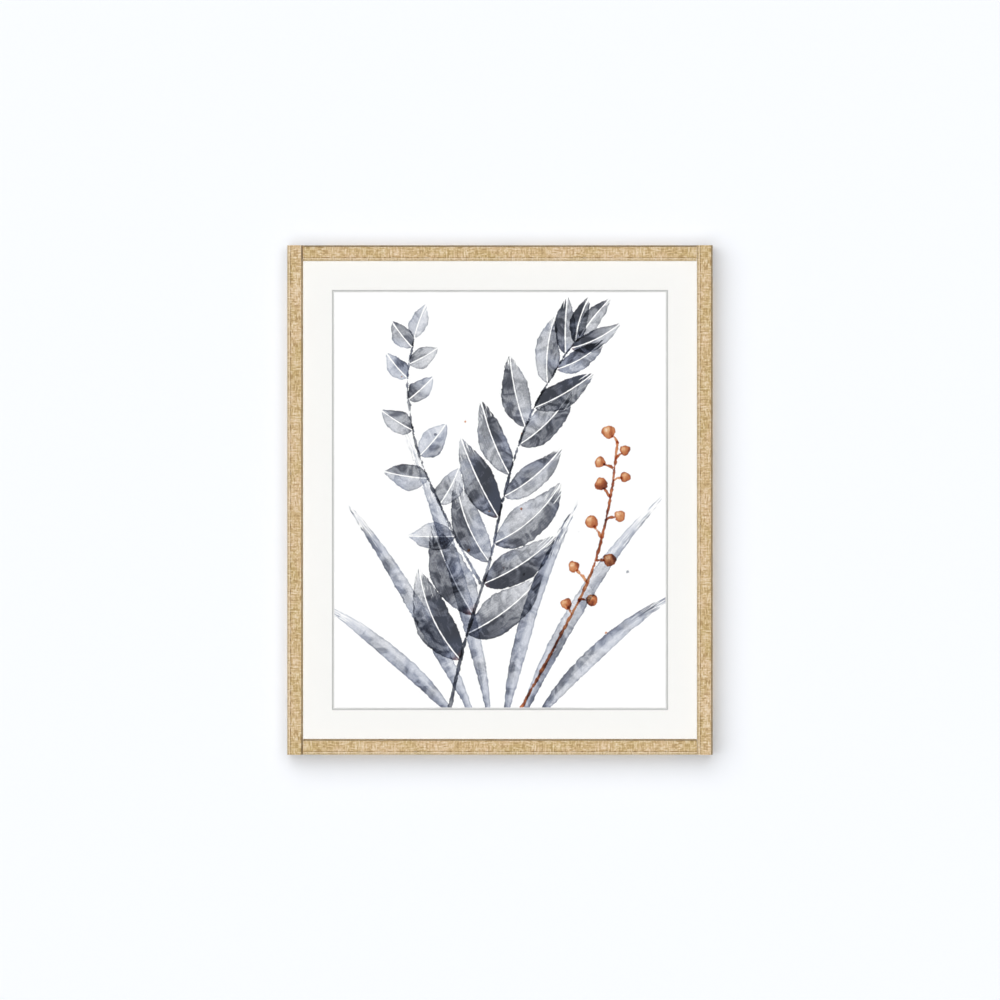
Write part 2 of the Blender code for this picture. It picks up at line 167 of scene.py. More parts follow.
def moulding_mesh(length, tenon, bevel_inside):
    """One length along Z, its weave map in threads, and faces of cloth (0) or wood (1)."""
    outline, round_at = cloth_outline(bevel_inside)
    threads = round(length / THREAD)
    pitch = length / threads

    # the cloth's outline, then the bare rabbet and back, a cloth's thickness lower
    wood = [
        (outline[-1][0], LIP_T - CLOTH_T),
        (SHOULDER_W, LIP_T - CLOTH_T),
        (SHOULDER_W, DEPTH - CLOTH_T),
        (outline[0][0], DEPTH - CLOTH_T),
    ]
    ring = np.vstack([outline, wood, outline[:1]])
    runs = np.linalg.norm(np.diff(ring[len(outline) - 1 :], axis=0), axis=1).cumsum()
    distances = np.concatenate([round_at, round_at[-1] + runs * (1 if bevel_inside else -1)])

    # a sheet with a column for each point of the outline, rolled up along it and sewn shut
    columns, rows = len(ring) - 1, 2 * threads
    bm = bmesh.new()
    distance = bm.verts.layers.float.new("distance")
    bare = bm.verts.layers.int.new("bare")
    bmesh.ops.create_grid(bm, x_segments=columns, y_segments=rows, size=0.5)
    for vert in bm.verts:
        column = round((vert.co.x + 0.5) * columns)
        vert[distance] = distances[column]
        vert[bare] = int(len(outline) <= column < columns)
        vert.co = (*ring[column], vert.co.y * length)
    bmesh.ops.remove_doubles(bm, verts=[v for v in bm.verts if v.is_boundary], dist=TOUCHING)
    ends = bmesh.ops.edgeloop_fill(bm, edges=[e for e in bm.edges if e.is_boundary])["faces"]
    bmesh.ops.recalc_face_normals(bm, faces=bm.faces)

    # a rail's back part goes on behind the stile's lip
    for end in ends if tenon else []:
        side = math.copysign(1, end.calc_center_median().z)
        corners = list(end.verts) + list(end.edges)
        bmesh.ops.bisect_plane(
            bm, geom=[end] + corners, plane_co=(0, LIP_T + GAP, 0), plane_no=(0, 1, 0)
        )
        back = [
            face
            for face in bm.faces
            if side * face.calc_center_median().z > length / 2 - GAP / 2
            and abs(face.normal.z) > 0.9
            and face.calc_center_median().y > LIP_T + GAP
        ]
        for _ in range(TENON_STEPS):
            grown = bmesh.ops.extrude_face_region(bm, geom=back)["geom"]
            bmesh.ops.delete(bm, geom=back, context="FACES_ONLY")
            back = only(bmesh.types.BMFace, grown)
            shift = (0, 0, side * tenon / TENON_STEPS)
            bmesh.ops.translate(bm, verts=only(bmesh.types.BMVert, grown), vec=shift)
    if not tenon:
        soften(bm, list({edge for end in ends for edge in end.edges}), CLOTH_R / 2)

    # relief of the weave, fading out at the cut ends, and the weave map
    bm.normal_update()
    around = np.array([vert[distance] for vert in bm.verts]) / THREAD
    along = np.array([vert.co.z + length / 2 for vert in bm.verts]) / pitch
    near_end = np.clip((length / 2 - np.abs(along * pitch - length / 2)) / THREAD, 0, 1)
    lifts = (weave_height(around, along) - 0.5) * RELIEF * near_end
    rims = [edge for edge in bm.edges if edge.verts[0][bare] != edge.verts[1][bare]]
    cut = {vert for edge in rims for vert in edge.verts}
    for vert, lift in zip(bm.verts, lifts):
        if not vert[bare] and vert not in cut:
            vert.co += vert.normal * float(lift)
    weave = bm.loops.layers.uv.new("weave")
    for face in bm.faces:
        cut_end = abs(face.normal.z) > 0.9
        wooden = any(vert[bare] for vert in face.verts) and (tenon > 0 or not cut_end)
        face.material_index = int(wooden)
        for loop in face.loops:
            vert = loop.vert
            if cut_end:
                loop[weave].uv = (vert.co.x / THREAD, vert.co.y / THREAD)
            else:
                loop[weave].uv = (vert[distance] / THREAD, (vert.co.z + length / 2) / pitch)
    return bm


def linear(hex_colour):
    """An sRGB hex colour as linear RGBA."""
    parts = [int(hex_colour[i : i + 2], 16) / 255 for i in (1, 3, 5)]
    return (*((p / 12.92 if p <= 0.04045 else ((p + 0.055) / 1.055) ** 2.4) for p in parts), 1)


def add_node(tree, kind, *inputs, output=0, stops=(), **settings):
    """Adds a shader node and gives back one of its outputs.

    The inputs are values or other nodes' outputs, in the order of the node's sockets, and a
    dictionary among them gives some by name or number. stops are a colour ramp's.
    """
    node = tree.nodes.new("ShaderNode" + kind)
    for name, value in settings.items():
        setattr(node, name, value)
    for number, (position, colour) in enumerate(stops):
        ramp = node.color_ramp.elements
        stop = ramp[number] if number < 2 else ramp.new(position)
        stop.position, stop.color = position, linear(colour)
    for place, item in enumerate(inputs):
        for key, value in (item if isinstance(item, dict) else {place: item}).items():
            if isinstance(value, bpy.types.NodeSocket):
                tree.links.new(value, node.inputs[key])
            else:
                node.inputs[key].default_value = value
    return node.outputs[output]


def new_material(name, **finish):
    """A material, the adder of nodes to it, and its shader with these constant values."""
    made = bpy.data.materials.new(name)
    made.use_nodes = True
    shader = made.node_tree.nodes["Principled BSDF"]
    for socket, value in finish.items():
        shader.inputs[socket.replace("_", " ")].default_value = value
    return made, functools.partial(add_node, made.node_tree), shader


def connect(shader, **outputs):
    """Links these outputs to the shader's sockets."""
    for socket, output in outputs.items():
        shader.id_data.links.new(output, shader.inputs[socket.replace("_", " ")])


def as_object(bm, name):
    """The bmesh, which is used up, as an object of the scene."""
    mesh = bpy.data.meshes.new(name)
    bm.to_mesh(mesh)
    bm.free()
    shown = bpy.data.objects.new(name, mesh)
    bpy.context.scene.collection.objects.link(shown)
    return shown


def set_down(bm, name, replaced, slot, *materials, sharp_from=20, place=None):
    """The finished bmesh as a piece of the frame that stands for its CAD node."""
    if place:
        bm.transform(place)
    piece = as_object(bm, name)
    piece.data.shade_smooth()
    piece.data.set_sharp_from_angle(angle=math.radians(sharp_from))
    for material in materials:
        piece.data.materials.append(material)
    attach(piece, "root")
    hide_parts(replaced)
    return piece


def linen_cloth():
    """Natural linen canvas: undyed flax in a plain weave. Threads differ in tone and swell
    into slubs, painted shade darkens the gaps between them, and the fibres make it dry and dull.
    """
    made, add, shader = new_material("natural_linen_canvas", Roughness=0.92, Sheen_Weight=0.12)

    # where this point lies in the weave, turned so that X runs across the thread on top
    threads = add("UVMap", uv_map="weave")
    crossing = add("VectorMath", threads, operation="FLOOR")
    middle = add("VectorMath", crossing, (0.5, 0.5, 0), operation="ADD")
    off = add("VectorMath", threads, middle, operation="SUBTRACT")
    both = add("VectorMath", crossing, (1, 1, 0), operation="DOT_PRODUCT", output=1)
    warp_on_top = add("Math", both, 2.0, operation="FLOORED_MODULO")
    turned_ways = []
    for vector in (off, crossing, threads):
        x, y = [add("SeparateXYZ", vector, output=axis) for axis in (0, 1)]
        ways = {0: warp_on_top, 4: add("CombineXYZ", y, x), 5: vector}
        turned_ways.append(add("Mix", ways, output=1, data_type="VECTOR"))
    off, thread, place = turned_ways

    # unevenness of the cloth, drawn out along the threads or across them
    along = add("SeparateXYZ", place, output=1)
    streak = add("CombineXYZ", add("SeparateXYZ", thread), along, warp_on_top)
    textures = []
    for field, shares, detail in (
        (streak, (3.7, 0.15, 31.0), 2.0),  # each thread's own tone, in long streaks
        (threads, (0.04, 0.5, 1.0), 2.0),  # bands of darker thread across the moulding
        (threads, (0.06, 0.05, 1.0), 2.0),  # wide patches of another dye lot
        (threads, (0.16, 0.16, 1.0), 1.0),  # where the warp or the weft is pulled tighter
        (threads, (1.1, 0.26, 1.0), 1.0),  # ribs of the warp
        (threads, (0.26, 1.1, 1.0), 1.0),  # ribs of the weft
        (place, (9.0, 1.0, 1.0), 2.0),  # fine flax fibres
        (threads, (0.0, 0.25, 0.0), 2.0),  # spots of dirt along the moulding
    ):
        drawn_out = add("VectorMath", field, shares, operation="MULTIPLY")
        drawn_out = {"Vector": drawn_out, "Scale": 1.0, "Detail": detail}
        textures.append(add("TexNoise", drawn_out))
    streak, band, patch, tighter, warp_ribs, weft_ribs, fibres, dirt_and_groove_shade = textures
    tighter = add("MapRange", tighter, 0.36, 0.64)
    ribs = add("Mix", {0: tighter, 2: warp_ribs, 3: weft_ribs})
    tone = add("Math", band, 0.4, streak, operation="MULTIPLY_ADD")
    tone = add("Math", patch, 0.45, tone, operation="MULTIPLY_ADD")
    tone = add("Math", ribs, 2.0, tone, operation="MULTIPLY_ADD")

    # relief: each thread is domed across and dives under the next; slubs are fatter
    beside = add("Math", add("SeparateXYZ", off), 2.0, operation="POWER")
    slub = add("MapRange", streak, 0.55, 0.7, 4.0, 2.6)
    dome = add("Math", beside, slub, operation="MULTIPLY")
    dome = add("Math", 1.0, dome, operation="SUBTRACT", use_clamp=True)
    dome = add("Math", dome, operation="SQRT")
    dive = add("Math", add("SeparateXYZ", off, output=1), math.pi, operation="MULTIPLY")
    dive = add("Math", add("Math", dive, operation="COSINE"), 0.6, 0.4, operation="MULTIPLY_ADD")
    height = add("Math", dome, dive, operation="MULTIPLY")

    # straw to cream threads, in faint olive and pinkish patches, with painted shade down in the
    # gaps
    stops = ((0.2, "#856533"), (0.43, "#c2a778"), (0.6, "#dfcba8"), (0.85, "#f5ecd6"))
    colour = add("ValToRGB", add("MapRange", tone, 1.34, 2.5), stops=stops)
    patch = add("ValToRGB", patch, stops=((0.36, "#d3c28f"), (0.64, "#e9cdb1")))
    colour = add("Mix", {0: 0.35, 6: colour, 7: patch}, output=2, data_type="RGBA")
    shaded = add("MapRange", fibres, 0.3, 0.75, 0.35, 0.0)
    # painted shade between the threads, darkest where the weave dips lowest
    gaps = add("MapRange", height, 0.0, 0.6, 0.7, 0.0)

    # distance from the grooved edge sets painted light and dirt: spots of glue and dust over an
    # even painted shade in the groove, a painted highlight on the lip beside it, painted shade on
    # the rounded edge and the side past it, and a darker painted shade on the bevel at the far edge
    around = add("SeparateXYZ", threads)
    # spots of glue and dust, over an even painted shade all along the groove
    dirt_and_groove_shade = add("MapRange", dirt_and_groove_shade, 0.46, 0.62, 0.15, 0.85)
    groove = add("Math", around, GROOVE_AT / THREAD, operation="SUBTRACT")
    groove = add("MapRange", add("Math", groove, operation="ABSOLUTE"), 0.1, 0.45, 1.0, 0.0)
    dirt_and_groove_shade = add("Math", dirt_and_groove_shade, groove, operation="MULTIPLY")
    # painted highlight on the lip between the rounded edge and the groove
    lip = add("MapRange", around, 1.0, 1.3, 0.0, 0.5)
    lip = add("Math", lip, add("MapRange", around, 1.7, 1.5), operation="MULTIPLY")
    # painted shade on the rounded edge beside the groove and on the side past it
    edge = add("MapRange", around, 1.0, 0.6, 0.0, 0.4)
    bevel_at = (FACE_W - BEVEL_W + GROOVE_W) / THREAD
    bevel_end = bevel_at + math.hypot(BEVEL_W, BEVEL_D) / THREAD
    # painted shade on the steep bevel, fainter past it
    bevel = add("MapRange", around, bevel_at, bevel_at + 0.3, 0.0, 0.57)
    beyond = add("MapRange", around, bevel_end, bevel_end + 0.8, 1.0, 0.15)
    bevel = add("Math", bevel, beyond, operation="MULTIPLY")
    for amount, stain in (
        (shaded, "#a5824f"),
        # painted shade in the gaps
        (gaps, "#8d6d42"),
        # painted highlight on the lip
        (lip, "#f7ead0"),
        # painted shade on the rounded edge
        (edge, "#b3a68e"),
        # dirt in spots, with painted shade along the groove
        (dirt_and_groove_shade, "#73501d"),
        # painted shade on the bevel
        (bevel, "#77603a"),
    ):
        colour = add("Mix", {0: amount, 6: colour, 7: linear(stain)}, output=2, data_type="RGBA")

    relief = add("Math", fibres, 0.5, height, operation="MULTIPLY_ADD")
    bump = add("Bump", {"Strength": 0.35, "Distance": 0.2 * MM, "Height": relief})
    connect(shader, Base_Color=colour, Normal=bump)
    return made


def raw_pine():
    """Planed softwood: pale early wood with darker late-wood lines along the length."""
    made, add, shader = new_material("planed_pine", Roughness=0.65)
    threads = add("UVMap", uv_map="weave")
    rings = add("VectorMath", threads, (0.9, 0.02, 1.0), operation="MULTIPLY")
    rings = add("TexNoise", {"Vector": rings, "Scale": 1.0, "Detail": 4.0})
    pores = add("VectorMath", threads, (9.0, 0.25, 1.0), operation="MULTIPLY")
    pores = add("TexNoise", {"Vector": pores, "Scale": 1.0, "Detail": 2.0})
    grain = add("Mix", {0: 0.35, 2: rings, 3: pores})
    colour = add("ValToRGB", grain, stops=((0.36, "#b4854f"), (0.6, "#e2c596")))
    bump = add("Bump", {"Strength": 0.2, "Distance": 0.1 * MM, "Height": grain})
    connect(shader, Base_Color=colour, Normal=bump)
    return made


linen, pine = linen_cloth(), raw_pine()
rail_front = SIGHT_RIGHT - SIGHT_LEFT - 2 * GAP
tenon = (RAIL_LENGTH - rail_front) / 2
for name, length, behind_lip, bevel_inside, turn, corner in (
    ("stile_left", TOP_Z - BOTTOM_Z, 0, True, 0, (OUTER_LEFT, MIDDLE_Z)),
    ("stile_right", TOP_Z - BOTTOM_Z, 0, False, math.pi, (OUTER_RIGHT, MIDDLE_Z)),
    ("rail_top", rail_front, tenon, False, math.pi / 2, (0, TOP_Z)),
    ("rail_bottom", rail_front, tenon, True, -math.pi / 2, (0, BOTTOM_Z)),
):
    place = Matrix.Translation((corner[0], FRONT_Y, corner[1])) @ Matrix.Rotation(turn, 4, "Y")
    bm = moulding_mesh(length, behind_lip, bevel_inside)
    set_down(bm, "linen_" + name, name, "linen_wrap", linen, pine, sharp_from=50, place=place)

# ---------------------------------------------------------------- glazing
# A sheet of clear picture glass, its cut edges seamed so that they don't chip. It lies
# behind the lip and lets the light through to the mat.

GLASS_SEAM = 0.25 * MM  # width of the seamed edges


def sheet_mesh(node, edge=0.0):
    """A flat sheet of its CAD node's size with this much taken off its edges."""
    low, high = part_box(node)
    bm = bmesh.new()
    place = Matrix.Translation((low + high) / 2) @ Matrix.Diagonal((*(high - low), 1))
    bmesh.ops.create_cube(bm, size=1, matrix=place)
    if edge:
        soften(bm, bm.edges[:], edge)
    return bm


def picture_glass():
    """Low-iron float glass, clear and next to colourless."""
    return new_material(
        "float_glass",
        Base_Color=linear("#fefefe"),
        Roughness=0.01,
        IOR=1.5,
        Transmission_Weight=1.0,
    )[0]


pane = sheet_mesh("glazing", GLASS_SEAM)
glass = set_down(pane, "picture_glass", "glazing", "glass", picture_glass())
glass.visible_shadow = False
glass.visible_diffuse = False

# ---------------------------------------------------------------- window mat
# Thick white alpha-cellulose board. Its window is cut with a blade held at 45 degrees, which
# leaves a bevel of the board's core that reads as a thin line round the picture. The bevel
# carries a painted shade, grey at the front and fading to the back.

INCH = 25.4 * MM
WINDOW_W, WINDOW_H = 16 * INCH, 20 * INCH
MAT_LOW, MAT_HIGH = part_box("mat_board")
MAT_T = MAT_HIGH.y - MAT_LOW.y


def window_mat_mesh():
    """The board with its window cut through, smaller at the back by the board's thickness."""
    bm = sheet_mesh("mat_board")
    middle = (MAT_LOW + MAT_HIGH) / 2
    windows = []
    for side, smaller in ((-1, 0), (1, MAT_T)):
        face = max(bm.faces, key=lambda f: side * f.calc_center_median().y)
        bmesh.ops.inset_region(bm, faces=[face], thickness=WINDOW_W / 4)
        for vert in face.verts:  # moved to the window's corners
            across = math.copysign(WINDOW_W / 2 - smaller, vert.co.x - middle.x)
            up = math.copysign(WINDOW_H / 2 - smaller, vert.co.z - middle.z)
            vert.co.x, vert.co.z = middle.x + across, middle.z + up
        windows.append(face)
    rims = [edge for window in windows for edge in window.edges]
    bmesh.ops.delete(bm, geom=windows, context="FACES_ONLY")
    bmesh.ops.bridge_loops(bm, edges=rims)
    bmesh.ops.recalc_face_normals(bm, faces=bm.faces)
    for face in bm.faces:
        face.material_index = int(0.3 < abs(face.normal.y) < 0.95)  # the bevel shows the core
    return bm


def matt_board(name, colour, fleck, core_shade=None):
    """Pressed cotton fibre, matt, with flecks and a tooth that only raking light shows. A cut
    edge can be given a painted shade of this colour, darkest at the front and fading to the back.
    """
    made, add, shader = new_material(name, Roughness=0.95, Specular_IOR_Level=0.2)
    where = add("TexCoord", output=3)
    fibres = add("TexNoise", {"Vector": where, "Scale": 900.0, "Detail": 3.0})
    colour = add("ValToRGB", fibres, stops=((0.3, fleck), (0.6, colour)))
    # painted shade on the cut edge, darkest at the board's front face
    if core_shade:
        depth = add("SeparateXYZ", where, output=1)
        share = add("MapRange", depth, MAT_LOW.y, MAT_HIGH.y, 1.0, 0.0)
        colour = add("Mix", {0: share, 6: colour, 7: linear(core_shade)}, output=2, data_type="RGBA")
    bump = add("Bump", {"Strength": 0.05, "Distance": 0.1 * MM, "Height": fibres})
    connect(shader, Base_Color=colour, Normal=bump)
    return made


board = matt_board("cotton_mat_board", "#f4f4f2", "#f1f0ed")
# the core's bevel gets a painted shade, grey at the front
core = matt_board("cut_mat_board_core", "#f3f3f2", "#ebebea", core_shade="#b7b7b6")
set_down(window_mat_mesh(), "window_mat", "mat_board", "mat_board", board, core)

# ---------------------------------------------------------------- the print
# A watercolour of a leafy spray, printed on smooth white paper. Every brush stroke is a
# formula worked out at the sheet's own vertices; the paint is laid on in a few washes, and
# strokes that overlap go into different washes, so that they darken each other as glazes do.

PRINT_LOW, PRINT_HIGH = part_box("print_sheet")
PRINT_CELL = 1.75 * MM
rng = np.random.default_rng(11)

# in mm, like every measure of the strokes
NO_PAINT = -30.0  # distance into a stroke where a wash has none near
MARGIN = 4.0  # bare paper that a stroke claims round itself in its wash
APART = 3.0  # how far that paper has to be from the wash's older strokes
HALO = 9.0  # how far out from a stroke the distance to it is worked out
NO_RIB = 900.0  # so far aside that no midrib is left bare


def sheet_grid():
    """The sheet: a fine grid in front, thin sides and one face behind."""
    size = PRINT_HIGH - PRINT_LOW
    middle = (PRINT_LOW + PRINT_HIGH) / 2
    bm = bmesh.new()
    bmesh.ops.create_grid(
        bm, x_segments=round(size.x / PRINT_CELL), y_segments=round(size.z / PRINT_CELL), size=0.5
    )
    upright = Matrix.Rotation(math.pi / 2, 4, "X") @ Matrix.Diagonal((size.x, size.z, 1, 1))
    front = (middle.x, PRINT_LOW.y, middle.z)
    bmesh.ops.transform(bm, matrix=Matrix.Translation(front) @ upright, verts=bm.verts)
    rim = [edge for edge in bm.edges if edge.is_boundary]
    grown = bmesh.ops.extrude_edge_only(bm, edges=rim)["geom"]
    bmesh.ops.translate(bm, verts=only(bmesh.types.BMVert, grown), vec=(0, size.y, 0))
    behind = [edge for edge in only(bmesh.types.BMEdge, grown) if edge.is_boundary]
    bmesh.ops.edgeloop_fill(bm, edges=behind)
    bmesh.ops.recalc_face_normals(bm, faces=bm.faces)
    return bm


print_bm = sheet_grid()
at = np.array([(vert.co.x, vert.co.z - MIDDLE_Z) for vert in print_bm.verts]) / MM
washes = []  # each an array of what lay_on is given, a row for each vertex


def lay_on(near, distance, pour, hue, side, run, dry):
    """Puts a stroke into the first wash where nothing is painted under or close to it.

    near says which vertices the values are for. distance is in mm, positive inside the
    stroke; side and run are in mm across and along it; pour, hue and dry are 0 to 1.
    """
    wet = near[distance > -MARGIN]
    dry_there = (wash for wash in washes if wash[wet, 0].max(initial=NO_PAINT) < -APART)
    chosen = next(dry_there, None)
    if chosen is None:
        chosen = np.zeros((len(at), 6), np.float32)
        chosen[:, 0] = NO_PAINT
        washes.append(chosen)
    closer = distance > chosen[near, 0]
    values = np.broadcast_arrays(distance, pour, hue, side, run, dry)
    chosen[near[closer]] = np.column_stack(values)[closer]


def direction(heading):
    """The way that lies this many degrees clockwise from upright."""
    turn = math.radians(heading)
    return np.array((math.sin(turn), math.cos(turn)))


def leaf(base, heading, length, half_width, bend, tone, hue, warm=0.0, split=True, dry=0.7):
    """A leaf from its stalk to its tip along an arc. heading is in degrees clockwise from
    upright, bend is how far it turns clockwise along its length. warm is how far the hue runs
    to rust at the stalk, and a split leaf leaves its midrib bare.
    """
    forward = direction(heading)
    right = np.array((forward[1], -forward[0]))
    offset = at - base
    near = np.flatnonzero(np.hypot(*(offset - forward * length / 2).T) < 0.62 * length + 12)

    # mm along the arc from the stalk, and mm to its right
    ahead, across = offset[near] @ forward, offset[near] @ right
    curve = max(abs(math.radians(bend)), 0.02) / length
    hand = 1 if bend >= 0 else -1
    run = np.arctan2(ahead, 1 / curve - hand * across) / curve
    side = hand * (1 / curve - np.hypot(ahead, 1 / curve - hand * across))
    share = np.clip(run / length, 0, 1)

    # widest below the middle, with a wavy edge
    seed = rng.uniform(0, 6.28, 3)
    width = half_width * np.sin(math.pi * share**0.78) ** 0.85
    width *= 1 + 0.07 * np.sin(share * 9 + seed[0]) * np.sign(side)
    distance = np.minimum(width - np.abs(side), np.minimum(run, length - run) * 0.6)

    # one half paler, thinner paint towards the tip, where the brush runs dry
    light_side = 1 if rng.random() < 0.6 else -1
    halves = 1 - 0.34 * np.clip(light_side * side / 1.5, -1, 1)
    pour = tone * halves * (1.15 - 0.5 * share + 0.22 * np.sin(share * 5 + seed[1]))
    rusty = np.clip(hue + warm * (1 - share / 0.3), hue, 1)
    edge_dry = dry * np.clip((share - 0.55) / 0.4, 0, 1)
    aside = side if split else side + NO_RIB
    lay_on(near, distance, pour, rusty, aside, run + 300 * seed[2], edge_dry)


def smooth_through(places, values):
    """A Catmull-Rom curve through evenly spaced values."""
    padded = np.concatenate([[2 * values[0] - values[1]], values, [2 * values[-1] - values[-2]]])
    whole = np.minimum(places.astype(int), len(values) - 2)
    t = places - whole
    a, b, c, d = (padded[whole + i] for i in range(4))
    square = a - 2.5 * b + 2 * c - d / 2
    cube = (d - a) / 2 + 1.5 * (b - c)
    return b + t * (c - a) / 2 + t**2 * square + t**3 * cube


def stalk(points, thick, thin, tone, hue, dry=0.15):
    """A thin stroke through a few points, from thick to thin. Returns its centreline."""
    points = np.array(points, float)
    places = np.linspace(0, len(points) - 1, 24 * (len(points) - 1))
    line = np.column_stack([smooth_through(places, side) for side in points.T])
    low, high = line.min(axis=0) - HALO, line.max(axis=0) + HALO
    near = np.flatnonzero(((at > low) & (at < high)).all(axis=1))

    # how far each vertex is from the nearest piece of the line, and where along it
    steps = np.diff(line, axis=0)
    lengths = np.linalg.norm(steps, axis=1)
    reach = np.concatenate([[0], np.cumsum(lengths)])
    best = np.full(len(near), 1e9)
    side, run = np.zeros(len(near)), np.zeros(len(near))
    for start, step, length, begun in zip(line, steps, lengths, reach):
        offset = at[near] - start
        share = np.clip(offset @ step / length**2, 0, 1)
        away = np.hypot(*(offset - share[:, None] * step).T)
        closer = away < best
        best[closer] = away[closer]
        cross = (offset[:, 0] * step[1] - offset[:, 1] * step[0]) / length
        side[closer] = cross[closer]
        run[closer] = (begun + share * length)[closer]

    along = run / reach[-1]
    width = thick + (thin - thick) * along + 0.25 * np.sin(run / 9)
    pour = tone * (1 + 0.3 * np.sin(run / 31 + points[0, 0]))
    lay_on(near, width - best, pour, hue, side + NO_RIB, run, dry)
    return line


def berry(centre, radius, tone, hue=1.0):
    """A round berry with a light spot to its upper left."""
    offset = at - centre
    near = np.flatnonzero(np.hypot(*offset.T) < radius + HALO)
    offset = offset[near]
    turn = np.arctan2(offset[:, 1], offset[:, 0])
    distance = radius * (1 + 0.06 * np.sin(3 * turn + centre[0])) - np.hypot(*offset.T)
    spot = np.hypot(offset[:, 0] + 0.3 * radius, offset[:, 1] - 0.35 * radius) / (0.5 * radius)
    pour = tone * (1 - 0.75 * np.exp(-(spot**2)))
    lay_on(near, distance, pour, hue, NO_RIB + offset[:, 0], offset[:, 1], 0.0)


def heading_of(line, index):
    """Which way a centreline goes there, in degrees clockwise from upright."""
    step = line[min(index + 1, len(line) - 1)] - line[max(index - 1, 0)]
    return math.degrees(math.atan2(step[0], step[1]))


def buds(line, first, last, count):
    """Buds to the right and left by turns along a centreline, evenly spaced but each moved a
    little at random: what share of the line is below it, its place, the line's heading there
    and its side.
    """
    pitch = (last - first) / (count - 1)
    shares = np.linspace(first, last, count) + rng.uniform(-0.2, 0.2, count) * pitch
    for number, share in enumerate(shares):
        index = int(share * (len(line) - 1))
        yield share, line[index], heading_of(line, index), 1 if number % 2 else -1


SLATE, HAZE, RUST = 0.0, 0.5, 1.0  # where the paints lie on the hue scale

# slender blades at the back, pale and bluish
for foot, heading, length, bend, tone in (
    (-30, -24, 330, -14, 0.42),
    (-12, -9, 395, -16, 0.3),
    (6, 8, 300, 22, 0.48),
    (26, 20, 345, 26, 0.34),
    (44, 34, 250, 30, 0.44),
    (-52, -38, 235, -24, 0.4),
):
    leaf((foot, -268), heading, length, 9.5, bend, tone, HAZE, split=False, dry=1.0)

# the main branch with broad leaves to both sides
bends = [(-64, -266), (-42, -170), (-14, -80), (6, 10), (34, 96), (74, 168), (96, 196)]
branch = stalk(bends, 2.6, 1.0, 0.75, 0.12)
for share, bud, heading, side in buds(branch, 0.13, 0.97, 17):
    length = (140 - 84 * share) * rng.uniform(0.92, 1.1)
    leaf(
        bud,
        heading + side * (62 - 26 * share) * rng.uniform(0.85, 1.15),
        length,
        length * rng.uniform(0.17, 0.205),
        -side * rng.uniform(8, 40),
        rng.uniform(0.46, 0.92),
        SLATE + rng.uniform(0, 0.16),
        warm=rng.choice((0.0, 0.0, 0.6)),
    )
leaf(branch[-1], heading_of(branch, len(branch) - 1) - 8, 62, 11, 16, 0.5, 0.1)

# a light side sprig with rounder leaves
sprig = stalk([(-22, -104), (-66, -20), (-100, 62), (-112, 140), (-104, 196)], 1.9, 1.3, 0.5, 0.2)
for share, bud, heading, side in buds(sprig, 0.2, 0.96, 9):
    length = (58 - 20 * share) * rng.uniform(0.9, 1.1)
    leaf(
        bud,
        heading + side * rng.uniform(48, 66),
        length,
        length * 0.3,
        -side * rng.uniform(5, 25),
        rng.uniform(0.28, 0.52),
        rng.uniform(0.1, 0.5),
        dry=0.4,
    )
leaf(sprig[-1], 14, 44, 11, 12, 0.24, 0.3)

# berries on a thin twig
twig = stalk([(18, -266), (70, -170), (112, -84), (134, 6), (142, 70)], 2.2, 1.7, 0.6, 0.85)
for share, bud, heading, side in buds(twig, 0.34, 1.0, 11):
    reach, radius = rng.uniform(15, 26), rng.uniform(6.0, 8.5)
    toward = direction(heading + side * rng.uniform(40, 75))
    end = bud + (reach - 0.8 * radius) * toward
    middle = (bud + end) / 2 + (0, 1.5)
    stalk([bud, middle, end], 1.7, 1.5, 0.5, 0.85, dry=0.0)
    berry(bud + reach * toward, radius, rng.uniform(0.5, 0.85))

# specks flicked off the brush
for _ in range(16):
    spot = rng.uniform((-170, -230), (170, 225))
    berry(spot, rng.uniform(1.2, 2.2), rng.uniform(0.2, 0.5), rng.choice((SLATE, HAZE, RUST)))


SHADES = {  # each paint from a thin wash to its full strength
    "slate": ("#f4f5f7", "#c8cad0", "#94979d", "#696c75", "#4e515a", "#3d4048"),
    "haze": ("#f4f5f8", "#ced2dc", "#a2a8b7", "#7a8091", "#5a5f6f", "#434855"),
    "rust": ("#fbf1e6", "#e6ba8f", "#cf8d60", "#b36943", "#934e33", "#703827"),
}


